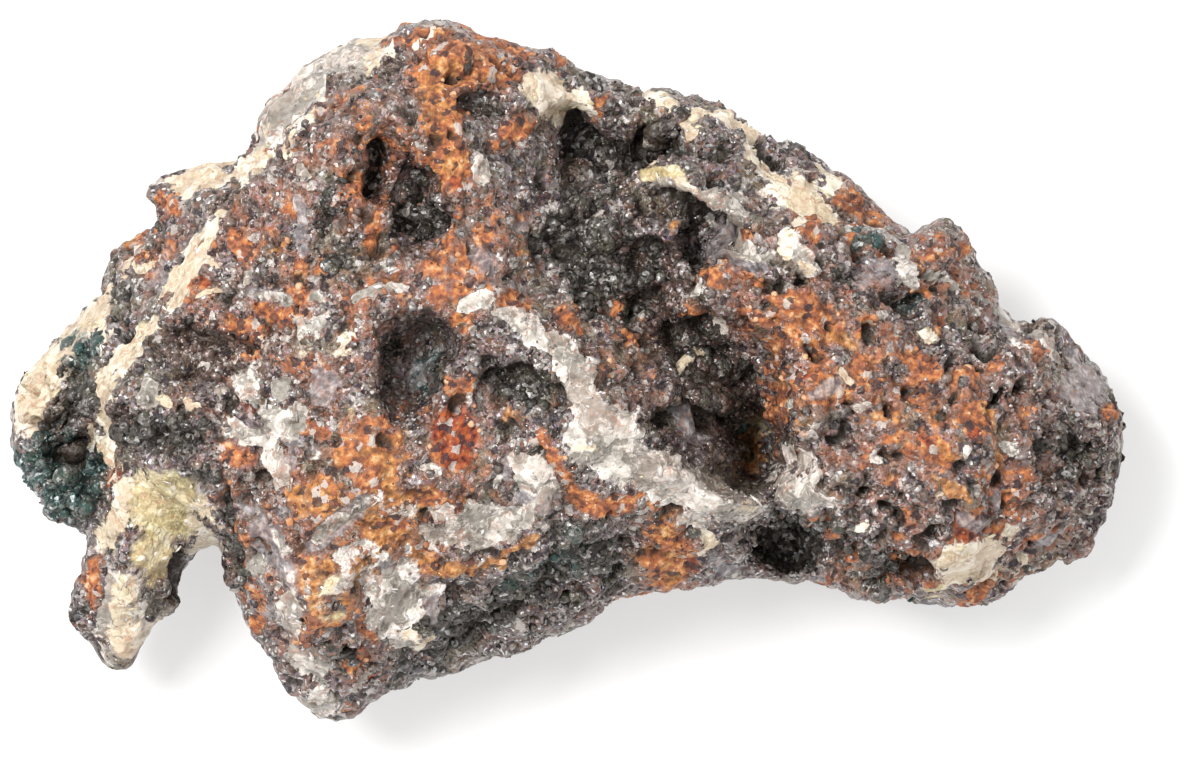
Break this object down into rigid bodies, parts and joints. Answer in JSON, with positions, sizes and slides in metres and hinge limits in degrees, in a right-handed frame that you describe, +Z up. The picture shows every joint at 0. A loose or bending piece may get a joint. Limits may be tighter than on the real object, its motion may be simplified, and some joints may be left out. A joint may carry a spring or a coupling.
{
  "type": "goethite mineral specimen",
  "caption": "Natural lump of dark botryoidal iron ore with quartz and calcite, long and irregular, with a leg and notch at one end and a valley across its upper side.",
  "frame": {"origin": "middle of the lump's box in plan, on the level it rests on", "axes": "+X along the length from the lobe and leg to the blunt end, +Y from the front corner towards the peak, +Z up from the resting flat"},
  "size_m": [0.0806, 0.0502, 0.0332],
  "materials": {
    "goethite_ore": "rough, granular, slightly metallic in places"
  },
  "bodies": {
    "root": {"goethite": "goethite_ore"}
  },
  "joints": []
}
